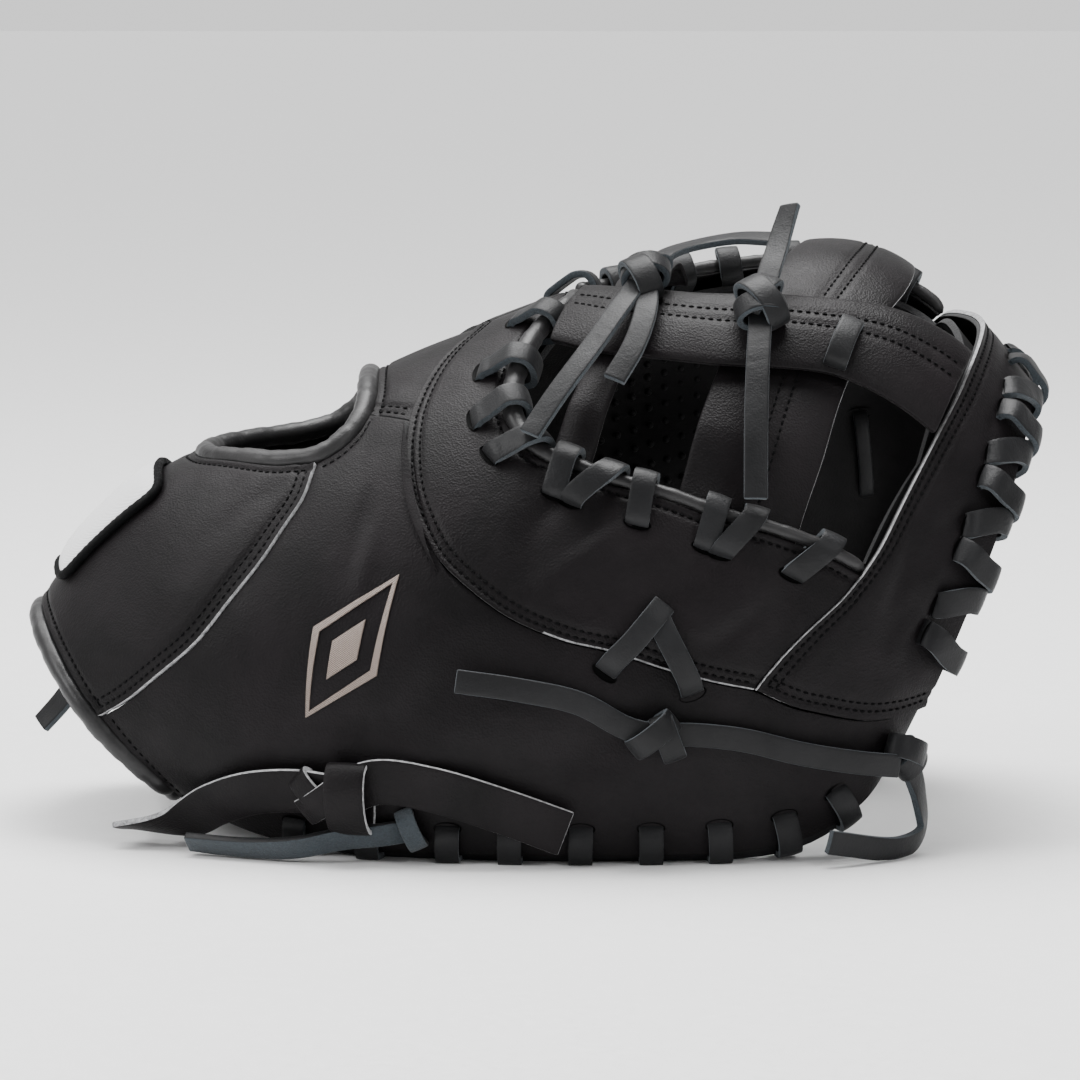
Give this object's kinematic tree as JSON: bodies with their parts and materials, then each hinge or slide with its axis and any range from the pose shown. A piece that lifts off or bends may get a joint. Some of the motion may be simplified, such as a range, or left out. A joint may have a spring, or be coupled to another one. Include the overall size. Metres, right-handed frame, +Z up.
{
  "type": "first baseman mitt",
  "caption": "Leather first baseman mitt: hollow hand back over a deep padded pocket, laced rims, open wrist strap, and a tip web with a post over two crossbars.",
  "frame": {"origin": "on the table under the middle of the bounding box", "axes": "+X from wrist to tip, +Y to the finger side, +Z up, as it lies pocket down"},
  "size_m": [0.3162, 0.1966, 0.1932],
  "materials": {
    "glove_leather": "grained black leather with a soft sheen",
    "binding": "smooth rolled black leather, slightly shiny",
    "lace": "waxed black rawhide thong with lighter cut edges",
    "patch": "plain moulded patch, a white field with a black edge"
  },
  "bodies": {
    "root": {"palm": "glove_leather", "thumb_back": "glove_leather", "finger_back": "glove_leather", "hand_bridge": "glove_leather", "wrist_strap": "glove_leather", "thumb_web_panel": "glove_leather", "finger_web_panel": "glove_leather", "tip_panel": "glove_leather", "wrist_binding": "binding", "heel_binding": "binding", "opening_binding": "binding", "thumb_welt": "binding", "finger_welt": "binding", "web_post": "glove_leather", "small_crossbar": "glove_leather", "wide_crossbar": "glove_leather", "thumb_web_lace": "lace", "finger_web_lace": "lace", "thumb_rim_lace": "lace", "finger_rim_lace": "lace", "tip_rim_lace": "lace", "heel_strap": "lace", "heel_lace": "lace", "thumb_lace": "lace", "cross_lace": "lace", "tip_lace": "lace", "crotch_lace": "lace", "post_lace": "lace", "post_loop": "lace", "wrist_lace": "lace", "patch": "patch"}
  },
  "joints": []
}
